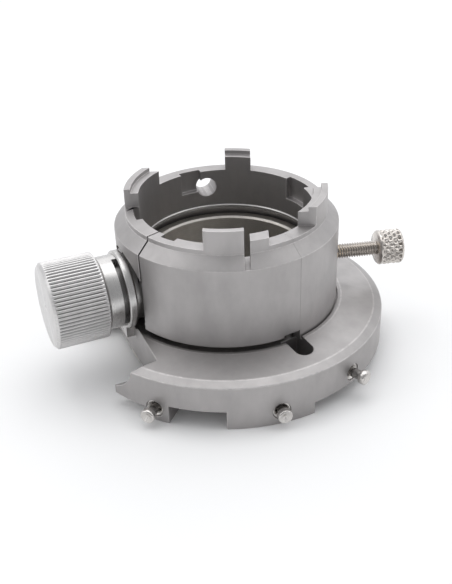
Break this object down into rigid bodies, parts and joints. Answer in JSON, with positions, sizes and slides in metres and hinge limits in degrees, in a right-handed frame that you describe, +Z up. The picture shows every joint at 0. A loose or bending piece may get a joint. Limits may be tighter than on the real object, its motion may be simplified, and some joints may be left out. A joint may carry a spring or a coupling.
{
  "type": "watch case press",
  "caption": "Split steel case holder drum on a footed, castellated base ring, with a side cam knob, a thumb screw and spring pins round the base.",
  "frame": {"origin": "drum axis, on the plane the feet stand on", "axes": "+Z up along the drum axis, -Y towards the front of the jaw, +X to the thumb screw side"},
  "size_m": [0.0973, 0.0836, 0.0452],
  "materials": {
    "blasted_steel": "bead-blasted stainless steel, matte",
    "satin_steel": "fine turned, satin",
    "turned_steel": "bright turned",
    "polished_steel": "polished, slightly warm",
    "dark_steel": "black oxide",
    "brass": "turned brass"
  },
  "bodies": {
    "base": {"base_ring": "blasted_steel", "guide_sleeve": "satin_steel", "sleeve_screws": "dark_steel", "drum_shell": "blasted_steel", "drum_screws": "dark_steel", "bore_snap_ring": "turned_steel", "jaw_pivot_pin": "polished_steel", "knob_boss": "turned_steel", "boss_screws": "dark_steel", "screw_bush": "brass", "pin_bushes": "polished_steel", "pin_spring_left": "polished_steel", "pin_spring_front": "polished_steel", "pin_spring_right": "polished_steel"},
    "jaw": {"clamp_jaw": "blasted_steel"},
    "knob": {"knob_grip": "turned_steel", "knob_shaft": "satin_steel", "cam_disc": "dark_steel", "cam_cross_pin": "polished_steel", "stop_pin": "polished_steel", "thrust_washer": "brass", "knob_wave_washer": "polished_steel", "knob_grub_screw": "dark_steel"},
    "screw_tip": {"screw_tip": "brass"},
    "thumb_screw": {"thumb_screw": "polished_steel", "screw_head": "polished_steel"},
    "pin_left": {"pin_left": "polished_steel"},
    "pin_front": {"pin_front": "polished_steel"},
    "pin_right": {"pin_right": "polished_steel"}
  },
  "joints": [
    {"name": "knob_turn", "type": "hinge", "parent": "base", "child": "knob", "pos_m": [-0.03309, -0.01418, 0.0226], "axis": [-0.9191, -0.3939, 0], "range_deg": [0, 110]},
    {"name": "jaw_swing", "type": "hinge", "parent": "base", "child": "jaw", "pos_m": [0.01456, -0.02142, 0.02], "axis": [0, 0, 1], "range_deg": [0, 0.5]},
    {"name": "tip_slide", "type": "slide", "parent": "base", "child": "screw_tip", "axis": [-0.9903, -0.1392, 0], "range_m": [-0.001, 0.008]},
    {"name": "thumb_turn", "type": "hinge", "parent": "screw_tip", "child": "thumb_screw", "pos_m": [0.02971, 0.00417, 0.0231], "axis": [-0.9903, -0.1392, 0], "range_deg": [-515, 4115]},
    {"name": "pin_left_pull", "type": "slide", "parent": "base", "child": "pin_left", "axis": [-0.454, -0.891, 0], "range_m": [0, 0.0015], "stiffness_N_per_m": 800, "springref_m": -0.0005, "deforming": ["pin_spring_left"]},
    {"name": "pin_front_pull", "type": "slide", "parent": "base", "child": "pin_front", "axis": [0.2924, -0.9563, 0], "range_m": [0, 0.0015], "stiffness_N_per_m": 800, "springref_m": -0.0005, "deforming": ["pin_spring_front"]},
    {"name": "pin_right_pull", "type": "slide", "parent": "base", "child": "pin_right", "axis": [0.7373, -0.6756, 0], "range_m": [0, 0.0015], "stiffness_N_per_m": 800, "springref_m": -0.0005, "deforming": ["pin_spring_right"]}
  ],
  "couplings": [
    {"joint": "jaw_swing", "follows": "knob_turn", "ratio": 0.0045455},
    {"joint": "thumb_turn", "follows": "tip_slide", "rad_per_m": 8976}
  ]
}
